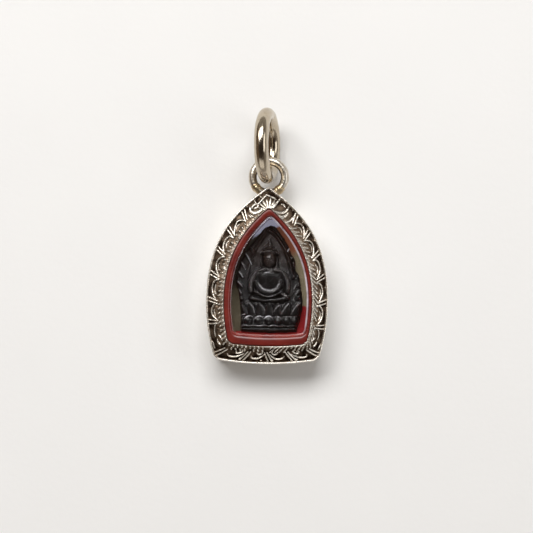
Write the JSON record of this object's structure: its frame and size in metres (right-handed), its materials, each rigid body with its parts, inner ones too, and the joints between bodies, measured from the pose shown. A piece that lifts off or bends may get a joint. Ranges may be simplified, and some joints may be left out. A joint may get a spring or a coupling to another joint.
{
  "type": "amulet pendant",
  "caption": "Pointed-arch amulet pendant: a pressed black plaque with a seated figure under a clear window, in a red rim and an ornamented silver casing with a soldered eye and a jump ring.",
  "frame": {"origin": "middle of the pendant's length and width, on the surface that it lies on", "axes": "+Z out of the front face, +Y along its length towards the jump ring, +X to the right of the front face"},
  "size_m": [0.0204, 0.0426, 0.0125],
  "materials": {
    "antiqued_silver": "cast silver, polished on the high parts and blackened in the ground",
    "plain_silver": "rolled silver sheet, satin",
    "polished_silver": "drawn silver wire, polished, lightly worn",
    "red_acrylic": "gloss red acrylic",
    "clear_acrylic": "clear, polished, bevelled edge",
    "black_clay": "pressed and fired black clay, rubbed grey on the high parts"
  },
  "bodies": {
    "root": {"casing": "antiqued_silver", "back_plate": "plain_silver", "red_rim": "red_acrylic", "window": "clear_acrylic", "plaque": "black_clay", "jump_ring": "polished_silver"}
  },
  "joints": []
}
